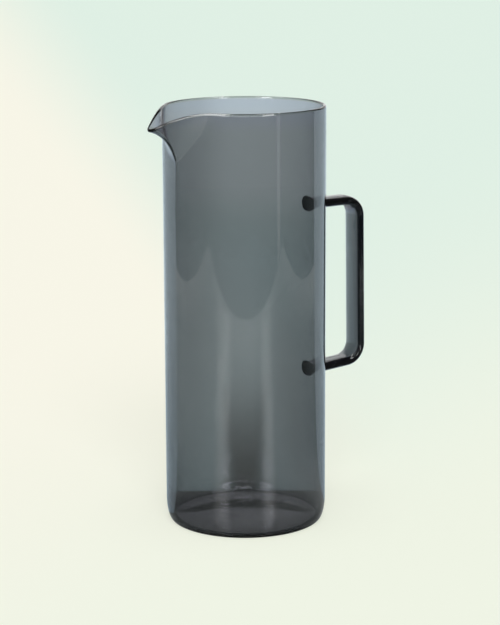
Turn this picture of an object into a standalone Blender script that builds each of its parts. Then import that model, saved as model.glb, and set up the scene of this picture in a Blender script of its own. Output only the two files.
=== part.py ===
import bpy
import bmesh
from math import acos, atan2, cos, hypot, pi, radians, sin, sqrt
from mathutils import Vector

# Straight-sided carafe in smoke-grey borosilicate glass, with a pulled pouring lip and one fused bar handle.
# The origin is the centre of the underside. The handle points to +X, the lip to -X and the mouth to +Z.

# Vessel, in metres
body_diameter = 0.095
body_height = 0.2476
wall_thickness = 0.0020
floor_thickness = 0.0022
heel_width = 0.0038
heel_height = 0.0132
inner_heel_width = 0.0039
inner_heel_height = 0.0110

# Pouring lip
lip_reach = 0.01765
lip_drop = 0.01115
lip_bend_out = 0.0042
lip_bend_depth = 0.0146
lip_root_depth = 0.0295
lip_rim_nose = 0.0058
lip_root_nose = 0.0025
lip_fillet = 0.08
lip_drop_power = 1.2
lip_sector = radians(45)

# Handle
handle_width = 0.0155
handle_thickness = 0.0057
handle_corner_power = 2.6
upper_reach = 0.0330
lower_reach = 0.0344
upper_root_height = 0.1856
lower_root_height = 0.0847
lower_leg_rise = 0.0022
upper_bend_radius = 0.0098
lower_bend_radius = 0.0107
foot_width = 0.0116
foot_height = 0.0092
foot_length = 0.0060
joint_gap = 0.0003

# Mesh counts
lip_columns = 16
plain_columns = 27
lip_rows = 11
wall_rows = 4
heel_rows = 7
inner_heel_rows = 6
rim_rows = 5
floor_ring_share = 0.5
section_points = 28
bend_rings = 9
foot_rings = 5
leg_rings = 2
grip_rings = 3

outer_radius = body_diameter / 2
inner_radius = outer_radius - wall_thickness
rim_radius = wall_thickness / 2
normal_step = 0.0001


def between(start, end, share):
    return start + (end - start) * share


# The keel is the lowest line of the lip, seen from the side: radius from the axis, and height.
def keel_point(share):
    bend = Vector((outer_radius + lip_bend_out, body_height - lip_bend_depth))
    tip = Vector((outer_radius + lip_reach, body_height - lip_drop))
    tip -= (tip - bend).normalized() * rim_radius
    root = Vector((outer_radius, body_height - lip_root_depth))
    rest = 1 - share
    return tip * rest * rest + bend * 2 * rest * share + root * share * share


# Level outline of the lip: the tube's circle, two straight sides, and a rounded nose that is tighter at the root.
def lip_radius(reach, nose, turn):
    turn = abs(turn)
    if reach <= outer_radius:
        return outer_radius
    nose_centre = reach - nose
    side = acos((outer_radius - nose) / nose_centre)
    nose_turn = atan2(nose * sin(side), nose_centre + nose * cos(side))
    if turn >= side:
        return outer_radius
    if turn >= nose_turn:
        return outer_radius / cos(side - turn)
    across = nose_centre * sin(turn)
    return nose_centre * cos(turn) + sqrt(nose * nose - across * across)


def outer_point(share, turn):
    level = body_height - between(rim_radius, lip_root_depth, share)
    radius = outer_radius
    if share < 1:
        keel = keel_point(share)
        reach = keel.x - outer_radius
        nose = between(lip_rim_nose, lip_root_nose, share)
        pushed = (lip_radius(keel.x, nose, turn) - outer_radius) / reach
        pushed = (hypot(pushed, lip_fillet) - lip_fillet) / (hypot(1, lip_fillet) - lip_fillet)
        radius += reach * pushed
        level += (keel.y - level) * pushed ** lip_drop_power
    return Vector((-radius * cos(turn), -radius * sin(turn), level))


def wall_frame(share, turn):
    around = outer_point(share, turn + normal_step) - outer_point(share, turn - normal_step)
    down = outer_point(share + normal_step, turn) - outer_point(share - normal_step, turn)
    normal = around.cross(down).normalized()
    if normal.dot(Vector((-cos(turn), -sin(turn), 0))) < 0:
        normal.negate()
    up = normal.cross(around).normalized()
    if up.dot(down) > 0:
        up.negate()
    return normal, up


# Column directions, measured from the lip, closer together at its nose
half = [lip_sector * (i / lip_columns) ** 1.6 for i in range(lip_columns + 1)]
half += [between(lip_sector, pi, i / plain_columns) for i in range(1, plain_columns + 1)]
turns = half + [-turn for turn in reversed(half[1:-1])]


def ring(radius, level):
    return [Vector((-radius * cos(turn), -radius * sin(turn), level)) for turn in turns]


def vessel_rings():
    foot_radius = outer_radius - heel_width
    rings = [ring(foot_radius * floor_ring_share, 0), ring(foot_radius, 0)]
    for i in range(1, heel_rows + 1):
        angle = pi / 2 * i / heel_rows
        rings.append(ring(foot_radius + heel_width * sin(angle), heel_height * (1 - cos(angle))))
    lip_level = body_height - lip_root_depth
    for i in range(1, wall_rows):
        rings.append(ring(outer_radius, between(heel_height, lip_level, i / wall_rows)))
    shares = [i / lip_rows for i in range(lip_rows + 1)]
    for share in reversed(shares):
        rings.append([outer_point(share, turn) for turn in turns])
    frames = [wall_frame(0, turn) for turn in turns]
    for i in range(1, rim_rows + 1):
        angle = pi * i / (rim_rows + 1)
        rim = []
        for turn, (normal, up) in zip(turns, frames):
            centre = outer_point(0, turn) - normal * rim_radius
            rim.append(centre + normal * rim_radius * cos(angle) + up * rim_radius * sin(angle))
        rings.append(rim)
    for share in shares:
        inside = []
        for turn in turns:
            normal = wall_frame(min(share, 1 - normal_step), turn)[0]
            inside.append(outer_point(share, turn) - normal * wall_thickness)
        rings.append(inside)
    rings[-1] = ring(inner_radius, lip_level)
    inner_heel_top = floor_thickness + inner_heel_height
    for i in range(1, wall_rows):
        rings.append(ring(inner_radius, between(lip_level, inner_heel_top, i / wall_rows)))
    floor_radius = inner_radius - inner_heel_width
    for i in range(inner_heel_rows + 1):
        angle = pi / 2 * i / inner_heel_rows
        radius = floor_radius + inner_heel_width * cos(angle)
        rings.append(ring(radius, inner_heel_top - inner_heel_height * sin(angle)))
    rings.append(ring(floor_radius * floor_ring_share, floor_thickness))
    return rings


def build_vessel():
    shell = bmesh.new()
    rings = [[shell.verts.new(point) for point in points] for points in vessel_rings()]
    count = len(turns)
    for lower, upper in zip(rings, rings[1:]):
        for i in range(count):
            j = (i + 1) % count
            shell.faces.new((lower[i], lower[j], upper[j], upper[i]))
    for points, level in ((rings[0], 0), (rings[-1], floor_thickness)):
        centre = shell.verts.new((0, 0, level))
        for i in range(count):
            shell.faces.new((centre, points[i], points[(i + 1) % count]))
    return shell


# Where two straight lines of the handle meet, the corner is an arc of the given radius.
def corner_arc(start, corner, end, radius):
    back = (start - corner).normalized()
    ahead = (end - corner).normalized()
    half_angle = acos(max(-1, min(1, back.dot(ahead)))) / 2
    centre = corner + (back + ahead).normalized() * radius / sin(half_angle)
    run = radius * cos(half_angle) / sin(half_angle)
    first = corner + back * run - centre
    last = corner + ahead * run - centre
    start_angle = atan2(first.y, first.x)
    end_angle = atan2(last.y, last.x)
    if end_angle > start_angle:
        end_angle -= 2 * pi
    angles = [between(start_angle, end_angle, i / bend_rings) for i in range(bend_rings + 1)]
    return [centre + Vector((cos(angle), sin(angle))) * radius for angle in angles]


# Centreline of the bar in its own plane: distance from the axis, and height.
def handle_path():
    wall = outer_radius + joint_gap
    top = Vector((wall, upper_root_height))
    top_corner = Vector((outer_radius + upper_reach, upper_root_height))
    low_corner = Vector((outer_radius + lower_reach, lower_root_height + lower_leg_rise))
    low = Vector((wall, lower_root_height))
    upper_arc = corner_arc(top, top_corner, low_corner, upper_bend_radius)
    lower_arc = corner_arc(top_corner, low_corner, low, lower_bend_radius)

    def leg(root, end):
        along = (end - root).normalized()
        points = [root + along * foot_length * i / foot_rings for i in range(foot_rings + 1)]
        foot_end = points[-1]
        points += [between(foot_end, end, i / leg_rings) for i in range(1, leg_rings)]
        return points

    grip = [between(upper_arc[-1], lower_arc[0], i / grip_rings) for i in range(1, grip_rings)]
    return leg(top, upper_arc[0]) + upper_arc + grip + lower_arc + leg(low, lower_arc[-1])[::-1]


def spread(share):
    return (abs(share) ** (2 / handle_corner_power)) * (1 if share >= 0 else -1)


def build_handle():
    path = handle_path()
    travelled = [0]
    for a, b in zip(path, path[1:]):
        travelled.append(travelled[-1] + (b - a).length)
    bar = bmesh.new()
    rings = []
    for k, point in enumerate(path):
        along = (path[min(k + 1, len(path) - 1)] - path[max(k - 1, 0)]).normalized()
        outward = Vector((-along.y, along.x))
        from_root = min(travelled[k], travelled[-1] - travelled[k])
        flare = max(0, 1 - from_root / foot_length) ** 2
        thickness = between(handle_thickness, foot_height, flare)
        width = between(handle_width, foot_width, flare)
        at_end = k in (0, len(path) - 1)
        points = []
        for i in range(section_points):
            angle = 2 * pi * (i + 0.5) / section_points
            side = width / 2 * spread(cos(angle))
            lift = outward * thickness / 2 * spread(sin(angle))
            reach = point.x + lift.x
            if at_end:
                wall = outer_radius + joint_gap
                reach = sqrt(wall * wall - side * side)
            points.append(bar.verts.new((reach, side, point.y + lift.y)))
        rings.append(points)
    for near, far in zip(rings, rings[1:]):
        for i in range(section_points):
            j = (i + 1) % section_points
            bar.faces.new((near[i], near[j], far[j], far[i]))
    # The two ends follow the tube's curve, in strips from the top edge to the bottom edge.
    for points in (rings[0], rings[-1]):
        for i in range(section_points // 2 - 1):
            bar.faces.new((points[i], points[i + 1], points[-2 - i], points[-1 - i]))
    return bar


def glass(name, colour):
    material = bpy.data.materials.new(name)
    material.use_nodes = True
    shader = material.node_tree.nodes["Principled BSDF"]
    shader.inputs["Base Color"].default_value = (*colour, 1)
    shader.inputs["Roughness"].default_value = 0.02
    shader.inputs["Metallic"].default_value = 0
    shader.inputs["IOR"].default_value = 1.47
    shader.inputs["Transmission Weight"].default_value = 0.6
    return material


def add_object(name, source, material):
    bmesh.ops.recalc_face_normals(source, faces=source.faces)
    mesh = bpy.data.meshes.new(name)
    source.to_mesh(mesh)
    source.free()
    mesh.materials.append(material)
    mesh.polygons.foreach_set("use_smooth", [True] * len(mesh.polygons))
    mesh.set_sharp_from_angle(angle=radians(40))
    bpy.context.scene.collection.objects.link(bpy.data.objects.new(name, mesh))


for old in list(bpy.data.objects):
    bpy.data.objects.remove(old)

add_object("vessel", build_vessel(), glass("smoke_glass_tube", (0.115, 0.135, 0.145)))
add_object("handle", build_handle(), glass("smoke_glass_bar", (0.035, 0.040, 0.045)))
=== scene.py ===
from math import acos, atan2, cos, pi, radians, sin, sqrt

import bmesh
import bpy
from mathutils import Matrix, Vector


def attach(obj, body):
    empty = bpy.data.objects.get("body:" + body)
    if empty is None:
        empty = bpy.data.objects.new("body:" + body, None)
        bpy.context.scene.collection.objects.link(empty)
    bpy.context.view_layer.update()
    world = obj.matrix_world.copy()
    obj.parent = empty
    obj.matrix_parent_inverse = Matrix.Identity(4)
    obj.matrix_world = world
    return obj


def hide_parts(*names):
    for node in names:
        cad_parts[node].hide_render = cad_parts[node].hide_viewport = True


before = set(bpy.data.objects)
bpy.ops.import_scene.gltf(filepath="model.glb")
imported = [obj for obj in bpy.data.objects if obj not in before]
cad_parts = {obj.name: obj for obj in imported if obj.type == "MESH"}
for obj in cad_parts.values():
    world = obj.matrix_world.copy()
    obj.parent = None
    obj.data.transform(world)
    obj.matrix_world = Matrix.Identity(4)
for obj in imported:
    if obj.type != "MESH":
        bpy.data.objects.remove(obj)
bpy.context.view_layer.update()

mm = 0.001


def toLinear(code):
    values = [int(code[i:i + 2], 16) / 255 for i in (1, 3, 5)]
    return [v / 12.92 if v <= 0.04045 else ((v + 0.055) / 1.055) ** 2.4 for v in values] + [1]


# A link's source is a socket, or a node whose first output is meant. In a colour mix, inputs 6 and 7 are the
# two colours and output 2 is the result.
def addNode(tree, kind, settings={}, links={}):
    node = tree.nodes.new(kind)
    for name, value in settings.items():
        if isinstance(name, int) or name in node.inputs:
            node.inputs[name].default_value = value
        else:
            setattr(node, name, value)
    for name, source in links.items():
        socket = source.outputs[0] if isinstance(source, bpy.types.Node) else source
        tree.links.new(socket, node.inputs[name])
    return node


smooth = {"interpolation_type": "SMOOTHSTEP"}


def newMaterial(name):
    material = bpy.data.materials.new(name)
    material.use_nodes = True
    material.node_tree.nodes.clear()
    return material, material.node_tree


def addPiece(name, mesh, material):
    piece = bpy.data.objects.new(name, mesh)
    bpy.context.scene.collection.objects.link(piece)
    mesh.materials.append(material)
    return piece


def finished(name, source):
    bmesh.ops.recalc_face_normals(source, faces=source.faces)
    mesh = bpy.data.meshes.new(name)
    source.to_mesh(mesh)
    source.free()
    mesh.polygons.foreach_set("use_smooth", [True] * len(mesh.polygons))
    return mesh


def between(start, end, share):
    return start + (end - start) * share


# Smoke-grey borosilicate glass: tinted in the melt and clear all through, so it darkens with its thickness.
# Drawn to a tube or a bar, it has faint lines along it. The fire polish leaves it glossy and a little wavy.
smoke = {
    "ior": 1.474,
    "tint": (0.0, 0.012, 0.085),
    "density": 400,
    "drawLines": 2.2 * mm,
    "lineDetail": 3,
    "lineStretch": 0.03,
    "lineShare": 0.12,
    "waves": 45 * mm,
    "waveDetail": 1,
    "relief": 0.4 * mm,
    "reliefShare": 0.05,
    "roughest": 0.02,
}


def smokeGlass(name, look):
    material, tree = newMaterial(name)
    place = addNode(tree, "ShaderNodeTexCoord").outputs["Object"]
    stretched = addNode(tree, "ShaderNodeMapping", {"Scale": (1, 1, look["lineStretch"])}, {"Vector": place})
    lines = addNode(tree, "ShaderNodeTexNoise", {"Scale": 1 / look["drawLines"], "Detail": look["lineDetail"]},
                    {"Vector": stretched})
    waves = addNode(tree, "ShaderNodeTexNoise", {"Scale": 1 / look["waves"], "Detail": look["waveDetail"]},
                    {"Vector": place})
    height = addNode(tree, "ShaderNodeMath", {"operation": "MULTIPLY_ADD", 1: look["lineShare"]},
                     {0: lines, 2: waves})
    bump = addNode(tree, "ShaderNodeBump", {"Strength": look["reliefShare"], "Distance": look["relief"]},
                   {"Height": height})
    polish = addNode(tree, "ShaderNodeMapRange", {"To Min": 0, "To Max": look["roughest"]}, {"Value": waves})
    shader = addNode(tree, "ShaderNodeBsdfPrincipled",
                     {"Base Color": (1, 1, 1, 1), "Transmission Weight": 1, "IOR": look["ior"]},
                     {"Roughness": polish, "Normal": bump})
    inside = addNode(tree, "ShaderNodeVolumeAbsorption",
                     {"Color": (*look["tint"], 1), "Density": look["density"]})
    addNode(tree, "ShaderNodeOutputMaterial", links={"Surface": shader, "Volume": inside})
    return material


# Vessel: one piece of tube with a closed floor, a fire-polished rim and a lip pulled out of it
vessel = {
    "outer": 47.5 * mm,
    "wall": 2 * mm,
    "height": 247.6 * mm,
    "floor": 2.2 * mm,
    "heel": (3.8 * mm, 13.2 * mm),
    "innerHeel": (3.9 * mm, 11.0 * mm),
    "lipReach": 17.65 * mm,
    "lipDrop": 11.15 * mm,
    "lipBend": (4.2 * mm, 14.6 * mm),
    "lipRoot": 29.5 * mm,
    "lipNose": (5.8 * mm, 2.5 * mm),
    "lipFillet": 0.08,
    "dropPower": 1.2,
    "lipSector": radians(45),
    "lipCrowding": 1.6,
    "lipColumns": 60,
    "plainColumns": 90,
    "lipRows": 48,
    "wallRows": 12,
    "roundRows": 16,
    "flatRings": (0.5, 0.9),
}
vessel["inner"] = vessel["outer"] - vessel["wall"]
vessel["rim"] = vessel["wall"] / 2
smallStep = 0.0001


# The keel is the lowest line of the lip, seen from the side: radius from the axis, and height.
def keelPoint(share):
    bend = Vector((vessel["outer"] + vessel["lipBend"][0], vessel["height"] - vessel["lipBend"][1]))
    tip = Vector((vessel["outer"] + vessel["lipReach"], vessel["height"] - vessel["lipDrop"]))
    tip -= (tip - bend).normalized() * vessel["rim"]
    root = Vector((vessel["outer"], vessel["height"] - vessel["lipRoot"]))
    rest = 1 - share
    return tip * rest * rest + bend * 2 * rest * share + root * share * share


# In plan the lip is the tube's circle, two straight sides and a rounded nose, tighter towards the root.
def lipRadius(reach, nose, turn):
    outer = vessel["outer"]
    side = acos(min(1, (outer - nose) / (reach - nose)))
    centre = reach - nose
    noseTurn = atan2(nose * sin(side), centre + nose * cos(side))
    if abs(turn) >= side:
        return outer
    if abs(turn) >= noseTurn:
        return outer / cos(side - abs(turn))
    across = centre * sin(turn)
    return centre * cos(turn) + sqrt(nose * nose - across * across)


def wallPoint(share, turn):
    level = vessel["height"] - between(vessel["rim"], vessel["lipRoot"], share)
    radius = vessel["outer"]
    if share < 1:
        keel = keelPoint(share)
        reach = keel.x - radius
        pushed = (lipRadius(keel.x, between(*vessel["lipNose"], share), turn) - radius) / reach
        fillet = vessel["lipFillet"]
        pushed = (sqrt(pushed * pushed + fillet * fillet) - fillet) / (sqrt(1 + fillet * fillet) - fillet)
        radius += reach * pushed
        level += (keel.y - level) * pushed ** vessel["dropPower"]
    return Vector((-radius * cos(turn), -radius * sin(turn), level))


def wallFrame(share, turn):
    around = wallPoint(share, turn + smallStep) - wallPoint(share, turn - smallStep)
    down = wallPoint(share + smallStep, turn) - wallPoint(share - smallStep, turn)
    normal = around.cross(down).normalized()
    if normal.dot(Vector((-cos(turn), -sin(turn), 0))) < 0:
        normal.negate()
    up = normal.cross(around).normalized()
    if up.dot(down) > 0:
        up.negate()
    return normal, up


# Rings from the middle of the underside out, up the outside, over the rim and down the inside to the floor
def vesselMesh():
    sector, lipColumns, plainColumns = (vessel[k] for k in ("lipSector", "lipColumns", "plainColumns"))
    half = [sector * (i / lipColumns) ** vessel["lipCrowding"] for i in range(lipColumns + 1)]
    half += [between(sector, pi, i / plainColumns) for i in range(1, plainColumns + 1)]
    turns = half + [-turn for turn in reversed(half[1:-1])]

    def ring(radius, level):
        return [Vector((-radius * cos(turn), -radius * sin(turn), level)) for turn in turns]

    outer, inner, wall, rim = (vessel[k] for k in ("outer", "inner", "wall", "rim"))
    lipRows, wallRows, roundRows = (vessel[k] for k in ("lipRows", "wallRows", "roundRows"))
    lipLevel = vessel["height"] - vessel["lipRoot"]
    heelWidth, heelHeight = vessel["heel"]
    footRadius = outer - heelWidth
    rings = [ring(footRadius * part, 0) for part in vessel["flatRings"]] + [ring(footRadius, 0)]
    for i in range(1, roundRows + 1):
        angle = pi / 2 * i / roundRows
        rings.append(ring(footRadius + heelWidth * sin(angle), heelHeight * (1 - cos(angle))))
    rings += [ring(outer, between(heelHeight, lipLevel, i / wallRows)) for i in range(1, wallRows)]
    shares = [i / lipRows for i in range(lipRows + 1)]
    rings += [[wallPoint(share, turn) for turn in turns] for share in reversed(shares)]
    frames = [wallFrame(0, turn) for turn in turns]
    for i in range(1, roundRows):
        angle = pi * i / roundRows
        rings.append([wallPoint(0, turn) + normal * rim * (cos(angle) - 1) + up * rim * sin(angle)
                      for turn, (normal, up) in zip(turns, frames)])
    for share in shares[:-1]:
        rings.append([wallPoint(share, turn) - wallFrame(share, turn)[0] * wall for turn in turns])
    innerWidth, innerHeight = vessel["innerHeel"]
    heelTop = vessel["floor"] + innerHeight
    rings += [ring(inner, between(lipLevel, heelTop, i / wallRows)) for i in range(wallRows)]
    floorRadius = inner - innerWidth
    for i in range(roundRows + 1):
        angle = pi / 2 * i / roundRows
        rings.append(ring(floorRadius + innerWidth * cos(angle), heelTop - innerHeight * sin(angle)))
    rings += [ring(floorRadius * part, vessel["floor"]) for part in reversed(vessel["flatRings"])]

    shell = bmesh.new()
    made = [[shell.verts.new(point) for point in points] for points in rings]
    count = len(turns)
    for lower, upper in zip(made, made[1:]):
        for i in range(count):
            shell.faces.new((lower[i], lower[(i + 1) % count], upper[(i + 1) % count], upper[i]))
    for points, level in ((made[0], 0), (made[-1], vessel["floor"])):
        centre = shell.verts.new((0, 0, level))
        for i in range(count):
            shell.faces.new((centre, points[i], points[(i + 1) % count]))
    return finished("vesselGlass", shell)


print("making the vessel")
vesselGlass = addPiece("vesselGlass", vesselMesh(), smokeGlass("smokeGlassTube", smoke))
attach(vesselGlass, "root")
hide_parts("vessel")


# Handle: one flat bar with rounded edges, bent to a bracket, its two feet spread where they are fused on
handle = {
    "width": 15.5 * mm,
    "thickness": 5.7 * mm,
    "corner": 2.6,
    "upperReach": 33.0 * mm,
    "lowerReach": 34.4 * mm,
    "upperRoot": 185.6 * mm,
    "lowerRoot": 84.7 * mm,
    "legRise": 2.2 * mm,
    "upperBend": 9.8 * mm,
    "lowerBend": 10.7 * mm,
    "footWidth": 11.6 * mm,
    "footHeight": 9.2 * mm,
    "footLength": 6 * mm,
    "seam": 0.02 * mm,
    "density": 330,
    "sharpFrom": radians(50),
    "sectionPoints": 64,
    "footRings": 16,
    "legRings": 5,
    "gripRings": 10,
    "bendRings": 28,
}


# Where two straight lines of the bar meet, the corner is an arc of the given radius.
def cornerArc(start, corner, end, radius):
    back = (start - corner).normalized()
    ahead = (end - corner).normalized()
    halfAngle = acos(back.dot(ahead)) / 2
    centre = corner + (back + ahead).normalized() * radius / sin(halfAngle)
    run = radius * cos(halfAngle) / sin(halfAngle)
    first = corner + back * run - centre
    last = corner + ahead * run - centre
    startAngle = atan2(first.y, first.x)
    endAngle = atan2(last.y, last.x)
    if endAngle > startAngle:
        endAngle -= 2 * pi
    steps = handle["bendRings"]
    angles = [between(startAngle, endAngle, i / steps) for i in range(steps + 1)]
    return [centre + Vector((cos(a), sin(a))) * radius for a in angles]


# Centreline of the bar in its own plane: distance from the axis, and height.
def handlePath():
    outer = vessel["outer"]
    wall = outer + handle["seam"]
    top = Vector((wall, handle["upperRoot"]))
    topCorner = Vector((outer + handle["upperReach"], handle["upperRoot"]))
    lowCorner = Vector((outer + handle["lowerReach"], handle["lowerRoot"] + handle["legRise"]))
    low = Vector((wall, handle["lowerRoot"]))
    upper = cornerArc(top, topCorner, lowCorner, handle["upperBend"])
    lower = cornerArc(topCorner, lowCorner, low, handle["lowerBend"])
    footRings, legRings, gripRings = (handle[k] for k in ("footRings", "legRings", "gripRings"))

    def leg(root, end):
        along = (end - root).normalized()
        points = [root + along * handle["footLength"] * (i / footRings) for i in range(footRings + 1)]
        return points + [between(points[-1], end, i / legRings) for i in range(1, legRings)]

    grip = [between(upper[-1], lower[0], i / gripRings) for i in range(1, gripRings)]
    return leg(top, upper[0]) + upper + grip + lower + leg(low, lower[-1])[::-1]


def rounded(value):
    return abs(value) ** (2 / handle["corner"]) * (1 if value >= 0 else -1)


def handleMesh():
    path = handlePath()
    travelled = [0]
    for a, b in zip(path, path[1:]):
        travelled.append(travelled[-1] + (b - a).length)
    count = handle["sectionPoints"]
    bar = bmesh.new()
    rings = []
    for k, point in enumerate(path):
        along = (path[min(k + 1, len(path) - 1)] - path[max(k - 1, 0)]).normalized()
        outward = Vector((-along.y, along.x))
        fromRoot = min(travelled[k], travelled[-1] - travelled[k])
        flare = max(0, 1 - fromRoot / handle["footLength"]) ** 2
        thickness = between(handle["thickness"], handle["footHeight"], flare)
        width = between(handle["width"], handle["footWidth"], flare)
        points = []
        for i in range(count):
            angle = 2 * pi * (i + 0.5) / count
            side = width / 2 * rounded(cos(angle))
            lift = outward * thickness / 2 * rounded(sin(angle))
            reach = point.x + lift.x
            if k in (0, len(path) - 1):
                wall = vessel["outer"] + handle["seam"]
                reach = sqrt(wall * wall - side * side)
            points.append(bar.verts.new((reach, side, point.y + lift.y)))
        rings.append(points)
    for near, far in zip(rings, rings[1:]):
        for i in range(count):
            j = (i + 1) % count
            bar.faces.new((near[i], near[j], far[j], far[i]))
    for points in (rings[0], rings[-1]):
        for i in range(count // 2 - 1):
            bar.faces.new((points[i], points[i + 1], points[-2 - i], points[-1 - i]))
    return finished("handleGlass", bar)


print("making the handle")
barGlass = smokeGlass("smokeGlassBar", {**smoke, "density": handle["density"]})
handleGlass = addPiece("handleGlass", handleMesh(), barGlass)
handleGlass.data.set_sharp_from_angle(angle=handle["sharpFrom"])
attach(handleGlass, "root")
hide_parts("handle")


# Studio, with x to the right, y away from the camera and z up, turned so that the lip points left and forward
print("setting up the studio")
studio = Matrix.Rotation(radians(-34), 4, "Z")
view = {
    "lens": 118.87,
    "place": (-3.6 * mm, -1190.8 * mm, 380.1 * mm),
    "pitch": 0.2112,
    "yaw": 0.0055,
    "roll": -0.0039,
}


def addLamp(name, kind, place, target, energy, settings):
    lamp = bpy.data.lights.new(name, kind)
    lamp.energy = energy
    for setting, value in settings.items():
        setattr(lamp, setting, value)
    holder = bpy.data.objects.new(name, lamp)
    bpy.context.scene.collection.objects.link(holder)
    aim = (Vector(target) - Vector(place)).to_track_quat("-Z", "Y").to_matrix().to_4x4()
    holder.matrix_world = studio @ Matrix.Translation(place) @ aim
    holder.visible_camera = False
    return holder


def addSheet(name, points, faces, material):
    mesh = bpy.data.meshes.new(name)
    mesh.from_pydata(points, [], faces)
    sheet = addPiece(name, mesh, material)
    sheet.matrix_world = studio
    return sheet


def addFlatSheet(name, corners, level, material):
    return addSheet(name, [(x, y, level) for x, y in corners], [tuple(range(len(corners)))], material)


def hideFrom(piece, *rays):
    for ray in rays:
        setattr(piece, "visible_" + ray, False)


# Pale painted board: cream on the left, mint on the right and far away. It is matt to the eye, with a thin
# varnish in mirrors, and part of its brightness is its own, so that the shadow on it stays soft.
board = {
    "cream": "#F8F6E8",
    "mint": "#E0F0E5",
    "near": "#F0F5E6",
    # Through the glass the board is a painted, shaded copy: darker and greener, with more painted shade on the
    # near right and painted light straight behind the middle.
    "behindGlass": "#D2ECE5",
    "behindRight": "#CADFD9",
    "behindMiddle": "#E0FAF3",
    # Painted shade under the foot and a painted shadow close behind, seen only through the glass.
    "footShade": "#8A8E88",
    "overlapShadow": "#606864",
    # Colours the board shows in mirrors: a painted, shaded copy, with painted shade near the foot and painted
    # light at its edge.
    "mirrored": ((0.06, "#A4AAAA"), (0.12, "#3E4446"), (0.5, "#B4BEBC")),
    "edge": "#F0F4F2",
    "fan": 1.19,
    "fanLeast": 0.5,
    "slant": -0.287,
    "toMint": {"From Min": -0.2, "From Max": -0.122},
    "nearSlant": 1.2,
    "toNear": {"From Min": 0.45, "From Max": 1},
    "overlapHalf": {"From Min": 0.002, "From Max": 0.026},
    "overlapReach": {"From Min": 0.05, "From Max": 0.42},
    "toRight": {"From Min": -0.02, "From Max": 0.02},
    "rightReach": {"From Min": 0.3, "From Max": 0.8, "To Min": 1, "To Max": 0},
    "middleHalf": {"From Min": 0.004, "From Max": 0.03, "To Min": 1, "To Max": 0},
    "mirroredLean": -0.5,
    "toEdge": {"From Min": 0.7, "From Max": 1},
    "halfWidth": 0.79,
    "front": 0.63,
    "gloss": 0.18,
    "varnish": 0.45,
    "ownLight": 0.68,
    "size": 9,
}

paper, tree = newMaterial("paleBoard")
spot = addNode(tree, "ShaderNodeTexCoord").outputs["Object"]
place = addNode(tree, "ShaderNodeSeparateXYZ", links={0: spot})
right = place.outputs["X"]
back = place.outputs["Y"]

# The pastel bands fan out from a point in front of the board, which lies below the camera of the photograph.
# They are painted on the board, by its own coordinates, and stay where they are in every view.
distance = addNode(tree, "ShaderNodeMath", {"operation": "ADD", 1: board["fan"]}, {0: back})
away = addNode(tree, "ShaderNodeMath", {"operation": "MAXIMUM", 1: board["fanLeast"]}, {0: distance})
across = addNode(tree, "ShaderNodeMath", {"operation": "DIVIDE"}, {0: right, 1: away})
high = addNode(tree, "ShaderNodeMath", {"operation": "DIVIDE", 0: 1}, {1: away})
slanted = addNode(tree, "ShaderNodeMath", {"operation": "MULTIPLY_ADD", 1: board["slant"]},
                  {0: high, 2: across})
toMint = addNode(tree, "ShaderNodeMapRange", {**smooth, **board["toMint"]}, {"Value": slanted})
closer = addNode(tree, "ShaderNodeMath", {"operation": "MULTIPLY_ADD", 1: board["nearSlant"]},
                 {0: across, 2: high})
toNear = addNode(tree, "ShaderNodeMapRange", {**smooth, **board["toNear"]}, {"Value": closer})
pastel = addNode(tree, "ShaderNodeMix",
                 {"data_type": "RGBA", 6: toLinear(board["cream"]), 7: toLinear(board["mint"])}, {0: toMint})
colour = addNode(tree, "ShaderNodeMix", {"data_type": "RGBA", 7: toLinear(board["near"])},
                 {0: toNear, 6: pastel.outputs[2]})
matt = addNode(tree, "ShaderNodeBsdfPrincipled", {"Roughness": 1, "Specular IOR Level": 0},
               {"Base Color": colour.outputs[2]})

# Seen through the glass, a painted shade darkens the board under the foot and in front of it, and a painted
# shadow lies close behind, where two shadows overlap.
sideways = addNode(tree, "ShaderNodeMath", {"operation": "ABSOLUTE"}, {0: right})
offAxis = addNode(tree, "ShaderNodeMapRange", {**smooth, **board["overlapHalf"]}, {"Value": sideways})
offFoot = addNode(tree, "ShaderNodeMapRange", {**smooth, **board["overlapReach"]}, {"Value": back})
footShade = addNode(tree, "ShaderNodeMath", {"operation": "LESS_THAN", 1: vessel["outer"]}, {0: back})
clear = addNode(tree, "ShaderNodeMath", {"operation": "MAXIMUM"}, {0: offFoot, 1: footShade})
openness = addNode(tree, "ShaderNodeMath", {"operation": "MAXIMUM"}, {0: offAxis, 1: clear})
# The painted, shaded copy seen through the glass: more painted shade on the near right, painted light straight
# behind the middle.
toRight = addNode(tree, "ShaderNodeMapRange", {**smooth, **board["toRight"]}, {"Value": across})
notFar = addNode(tree, "ShaderNodeMapRange", {**smooth, **board["rightReach"]}, {"Value": back})
rightNear = addNode(tree, "ShaderNodeMath", {"operation": "MULTIPLY"}, {0: toRight, 1: notFar})
beyond = addNode(tree, "ShaderNodeMix",
                 {"data_type": "RGBA", 6: toLinear(board["behindGlass"]), 7: toLinear(board["behindRight"])},
                 {0: rightNear})
aside = addNode(tree, "ShaderNodeMath", {"operation": "ABSOLUTE"}, {0: across})
central = addNode(tree, "ShaderNodeMapRange", {**smooth, **board["middleHalf"]}, {"Value": aside})
middle = addNode(tree, "ShaderNodeMix", {"data_type": "RGBA", 7: toLinear(board["behindMiddle"])},
                 {0: central, 6: beyond.outputs[2]})
footed = addNode(tree, "ShaderNodeMix", {"data_type": "RGBA", 7: toLinear(board["footShade"])},
                 {0: footShade, 6: middle.outputs[2]})
shaded = addNode(tree, "ShaderNodeMix", {"data_type": "RGBA", 6: toLinear(board["overlapShadow"])},
                 {0: openness, 7: footed.outputs[2]})
path = addNode(tree, "ShaderNodeLightPath")
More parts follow.
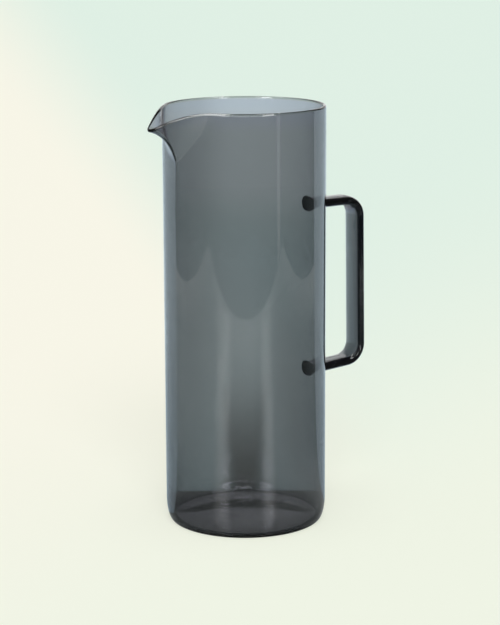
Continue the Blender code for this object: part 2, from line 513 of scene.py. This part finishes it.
behind = addNode(tree, "ShaderNodeMix", {"data_type": "RGBA"},
                 {0: path.outputs["Is Transmission Ray"], 6: colour.outputs[2], 7: shaded.outputs[2]})
glow = addNode(tree, "ShaderNodeEmission", {"Strength": 1}, {"Color": behind.outputs[2]})
seen = addNode(tree, "ShaderNodeMath", {"operation": "MAXIMUM"},
               {0: path.outputs["Is Camera Ray"], 1: path.outputs["Is Transmission Ray"]})
ownShare = addNode(tree, "ShaderNodeMath", {"operation": "MULTIPLY", 1: board["ownLight"]}, {0: seen})
direct = addNode(tree, "ShaderNodeMixShader", links={0: ownShare, 1: matt, 2: glow})

# Mirrored, the board is a painted, shaded copy: painted shade darkens it round the vessel's foot, it pales
# further out, and painted light makes it brightest at its own edge.
out = addNode(tree, "ShaderNodeVectorMath", {"operation": "LENGTH"}, {0: spot})
leftward = addNode(tree, "ShaderNodeMath", {"operation": "MULTIPLY_ADD", 1: board["mirroredLean"]},
                   {0: right, 2: out.outputs["Value"]})
shown = addNode(tree, "ShaderNodeValToRGB", {}, {0: leftward})
shown.color_ramp.interpolation = "EASE"
stops = shown.color_ramp.elements
stops.remove(stops[1])
stops[0].position = board["mirrored"][0][0]
stops[0].color = toLinear(board["mirrored"][0][1])
for where, code in board["mirrored"][1:]:
    stops.new(where).color = toLinear(code)
bySide = addNode(tree, "ShaderNodeMath", {"operation": "DIVIDE", 1: board["halfWidth"]}, {0: sideways})
byFront = addNode(tree, "ShaderNodeMath", {"operation": "DIVIDE", 1: -board["front"]}, {0: back})
edge = addNode(tree, "ShaderNodeMath", {"operation": "MAXIMUM"}, {0: bySide, 1: byFront})
nearEdge = addNode(tree, "ShaderNodeMapRange", {**smooth, **board["toEdge"]}, {"Value": edge})
mirror = addNode(tree, "ShaderNodeMix", {"data_type": "RGBA", 7: toLinear(board["edge"])},
                 {0: nearEdge, 6: shown})
dull = addNode(tree, "ShaderNodeBsdfDiffuse", {}, {"Color": mirror.outputs[2]})
varnish = addNode(tree, "ShaderNodeBsdfPrincipled", {"Roughness": board["gloss"]},
                  {"Base Color": mirror.outputs[2]})
gloss = addNode(tree, "ShaderNodeMixShader", {0: board["varnish"]}, {1: dull, 2: varnish})
mirrored = addNode(tree, "ShaderNodeMath", {"operation": "SUBTRACT", "use_clamp": True},
                   {0: path.outputs["Is Glossy Ray"], 1: path.outputs["Is Transmission Ray"]})
chosen = addNode(tree, "ShaderNodeMixShader", links={0: mirrored, 1: direct, 2: gloss})
addNode(tree, "ShaderNodeOutputMaterial", links={"Surface": chosen})
size = board["size"]
addFlatSheet("floor", [(-size, -size), (size, -size), (size, size), (-size, size)], 0, paper)

# Beyond the table the glass mirrors dark sheets, a painted shade standing for the dim studio floor, the pale
# foot of a stand, and the bluish paper that runs on behind on both sides, with painted shade making it greyer
# where it comes close.
surroundings = {
    "dark": "#383A3C",
    "stand": "#F6F8FA",
    "wingNear": "#B7CAD7",
    "wingFar": "#E0F3FF",
    "toFar": {"From Min": 0.1, "From Max": 0.7},
}
dark, tree = newMaterial("darkRoom")
cloth = addNode(tree, "ShaderNodeBsdfDiffuse", {"Color": toLinear(surroundings["dark"])})
addNode(tree, "ShaderNodeOutputMaterial", links={"Surface": cloth})
pale, tree = newMaterial("paleStand")
paint = addNode(tree, "ShaderNodeBsdfDiffuse", {"Color": toLinear(surroundings["stand"])})
addNode(tree, "ShaderNodeOutputMaterial", links={"Surface": paint})
wing, tree = newMaterial("paleWing")
length = addNode(tree, "ShaderNodeVectorMath", {"operation": "LENGTH"},
                 {0: addNode(tree, "ShaderNodeTexCoord").outputs["Object"]})
further = addNode(tree, "ShaderNodeMapRange", {**smooth, **surroundings["toFar"]},
                  {"Value": length.outputs["Value"]})
grey = addNode(tree, "ShaderNodeMix",
               {"data_type": "RGBA", 6: toLinear(surroundings["wingNear"]),
                7: toLinear(surroundings["wingFar"])}, {0: further})
paint = addNode(tree, "ShaderNodeBsdfDiffuse", {}, {"Color": grey.outputs[2]})
addNode(tree, "ShaderNodeOutputMaterial", links={"Surface": paint})
frontCorners = [(-0.79, -0.63), (-4, -0.63), (-4, -4), (4, -4), (4, -0.6), (0.8, -0.6), (0, -0.646)]
for name, corners, level, material in (
    ("roomFront", frontCorners, 0.5, dark),
    ("roomLeft", [(-0.79, -0.63), (-0.79, 0.35), (-4, 1.8), (-4, -0.63)], 0.5, dark),
    ("roomRight", [(0.8, -0.6), (4, -0.6), (4, 1.8), (0.8, 0.35)], 0.5, dark),
    ("paperLeft", [(-0.054, -0.008), (-3.7, 1.6), (-3.7, 5), (-0.6, 5), (-0.02, 0.06)], 1, wing),
    ("paperRight", [(0.054, 0.023), (0.02, 0.06), (0.6, 5), (3.7, 5), (3.7, 1.6)], 1, wing),
    ("standFoot", [(0.64, -0.63), (2.0, -2.0), (2.2, -1.83), (0.72, -0.61)], 1, pale),
):
    sheet = addFlatSheet(name, corners, level * mm, material)
    hideFrom(sheet, "camera", "diffuse", "transmission", "shadow")

# Through the glass shows a far sheet that glows with painted light, whiter and bluer the further back it lies,
# and dimmer on the left, in bands that fan out as the board's do.
farSheet = {
    "start": 0.8,
    "full": 1.3,
    "nearest": 1,
    "furthest": 2.2,
    "colours": ((0.28, "#E4F2EA"), (0.7, "#E8F6EE"), (0.8, "#E9F6F4")),
    "first": "#D0E2D8",
    "last": "#E9FAFF",
    "strength": {"From Min": -0.032, "From Max": -0.006, "To Min": 1.05, "To Max": 1.21},
}
far, tree = newMaterial("farSheet")
spot = addNode(tree, "ShaderNodeTexCoord").outputs["Object"]
place = addNode(tree, "ShaderNodeSeparateXYZ", links={0: spot})
back = place.outputs["Y"]
depth = addNode(tree, "ShaderNodeMapRange",
                {"From Min": farSheet["nearest"], "From Max": farSheet["furthest"]}, {"Value": back})
ramp = addNode(tree, "ShaderNodeValToRGB", {}, {0: depth})
stops = ramp.color_ramp.elements
stops[0].color = toLinear(farSheet["first"])
stops[1].color = toLinear(farSheet["last"])
for where, code in farSheet["colours"]:
    stops.new(where).color = toLinear(code)
distance = addNode(tree, "ShaderNodeMath", {"operation": "ADD", 1: board["fan"]}, {0: back})
across = addNode(tree, "ShaderNodeMath", {"operation": "DIVIDE"}, {0: place.outputs["X"], 1: distance})
power = addNode(tree, "ShaderNodeMapRange", {**smooth, **farSheet["strength"]},
                {"Value": across})
glow = addNode(tree, "ShaderNodeEmission", {}, {"Color": ramp, "Strength": power})
faded = addNode(tree, "ShaderNodeMapRange",
                {**smooth, "From Min": farSheet["start"], "From Max": farSheet["full"]}, {"Value": back})
nothing = addNode(tree, "ShaderNodeBsdfTransparent")
veil = addNode(tree, "ShaderNodeMixShader", links={0: faded, 1: nothing, 2: glow})
addNode(tree, "ShaderNodeOutputMaterial", links={"Surface": veil})
start = farSheet["start"]
sheet = addFlatSheet("farSheet", [(-5, start), (5, start), (5, 8), (-5, 8)], 1 * mm, far)
hideFrom(sheet, "camera", "diffuse", "glossy", "shadow")

# The room is dim, and pale only where the camera looks past the board.
room = {"colour": "#F4F7EF", "strength": 0.1}
world = bpy.data.worlds.new("room")
bpy.context.scene.world = world
world.use_nodes = True
tree = world.node_tree
sky = tree.nodes["Background"]
sky.inputs["Color"].default_value = toLinear(room["colour"])
straight = addNode(tree, "ShaderNodeLightPath").outputs["Is Camera Ray"]
strength = addNode(tree, "ShaderNodeMath",
                   {"operation": "MULTIPLY_ADD", 1: 1 - room["strength"], 2: room["strength"]}, {0: straight})
tree.links.new(strength.outputs[0], sky.inputs["Strength"])

# Key from the camera's side, so that the shadow lies behind the glass, one light overhead and a broad fill.
for name, place, energy, angle in (
    ("keyLight", (0.08, -1, 0.84), 1.75, 28),
    ("topLight", (0, -0.05, 1), 0.85, 24),
    ("fillLight", (0, -0.2, 1), 0.85, 150),
):
    hideFrom(addLamp(name, "SUN", place, (0, 0, 0), energy, {"angle": radians(angle)}), "glossy")

# Softboxes beside the camera, which the glass shows by way of the table's gloss and in the round of its floor.
# Each leans outwards from its foot up, and its fabric is brightest along the middle. A row gives the height in
# metres, then the bearing and half the width in degrees.
softboxes = {
    "left": ((0.115, -26.5, 14), (0.4, -36, 14), (1.1, -33, 12)),
    "right": ((0.115, 26.5, 10), (0.42, 36, 11), (1.1, 31, 10)),
    "high": ((1.2, -40, 22), (2.6, -40, 30)),
    "distance": 1.3,
    "level": 12,
    "softEdges": {"X": 0.35, "Y": 0.045},
}

fabric, tree = newMaterial("softboxFabric")
weave = addNode(tree, "ShaderNodeTexCoord").outputs["UV"]
spot = addNode(tree, "ShaderNodeSeparateXYZ", links={0: weave})
soft = []
for side, reach in softboxes["softEdges"].items():
    folded = addNode(tree, "ShaderNodeMath", {"operation": "PINGPONG", 1: 0.5}, {0: spot.outputs[side]})
    soft.append(addNode(tree, "ShaderNodeMapRange", {**smooth, "From Max": reach}, {"Value": folded}))
spread = addNode(tree, "ShaderNodeMath", {"operation": "MULTIPLY"}, {0: soft[0], 1: soft[1]})
strength = addNode(tree, "ShaderNodeMath", {"operation": "MULTIPLY", 1: softboxes["level"]}, {0: spread})
glow = addNode(tree, "ShaderNodeEmission", {}, {"Strength": strength})
addNode(tree, "ShaderNodeOutputMaterial", links={"Surface": glow})
for side in ("left", "right", "high"):
    rows = softboxes[side]
    points = []
    for height, bearing, halfWidth in rows:
        for turn in (radians(bearing - halfWidth), radians(bearing + halfWidth)):
            points.append((softboxes["distance"] * sin(turn), -softboxes["distance"] * cos(turn), height))
    faces = [(2 * i, 2 * i + 1, 2 * i + 3, 2 * i + 2) for i in range(len(rows) - 1)]
    box = addSheet(side + "Softbox", points, faces, fabric)
    heights = [(row[0] - rows[0][0]) / (rows[-1][0] - rows[0][0]) for row in rows]
    layer = box.data.uv_layers.new(name="fabric")
    for loop in box.data.loops:
        layer.data[loop.index].uv = (loop.vertex_index % 2, heights[loop.vertex_index // 2])
    hideFrom(box, "camera", "diffuse", "shadow")

# A low strip in front, two long strips overhead, and three panels behind, for the tops of the rim and the
# handle and for the glass floor: the dark gap above the lowest one is the crescent at the back of that floor.
for name, place, target, size, power in (
    ("stripFront", (0, -1.35, 0.16), (0, 0, 0.16), (0.9, 0.12), 1.12),
    ("backHigh", (0, 3, 1.596), (0, 0, 1.596), (4, 1.112), 14.0),
    ("backMiddle", (0, 3, 0.992), (0, 0, 0.992), (4, 0.096), 1.35),
    ("backLow", (0, 3, 0.475), (0, 0, 0.475), (4, 0.65), 8.2),
    ("stripOverLeft", (-0.58, -0.1, 2), (-0.58, -0.1, 0), (0.4, 1.6), 22),
    ("stripOverRight", (0.58, -0.1, 2), (0.58, -0.1, 0), (0.4, 1.6), 22),
):
    panel = {"shape": "RECTANGLE", "size": size[0], "size_y": size[1]}
    hideFrom(addLamp(name, "AREA", place, target, power, panel), "diffuse")

camera = bpy.data.cameras.new("camera")
camera.sensor_fit = "VERTICAL"
camera.sensor_height = 36
camera.lens = view["lens"]
eye = bpy.data.objects.new("camera", camera)
bpy.context.scene.collection.objects.link(eye)
eye.matrix_world = (studio @ Matrix.Translation(view["place"])
                    @ Matrix.Rotation(-view["yaw"], 4, "Z")
                    @ Matrix.Rotation(pi / 2 - view["pitch"], 4, "X")
                    @ Matrix.Rotation(view["roll"], 4, "Z"))
bpy.context.scene.camera = eye

scene = bpy.context.scene
scene.view_settings.view_transform = "Standard"
scene.cycles.max_bounces = 24
scene.cycles.transmission_bounces = 24
scene.cycles.glossy_bounces = 12
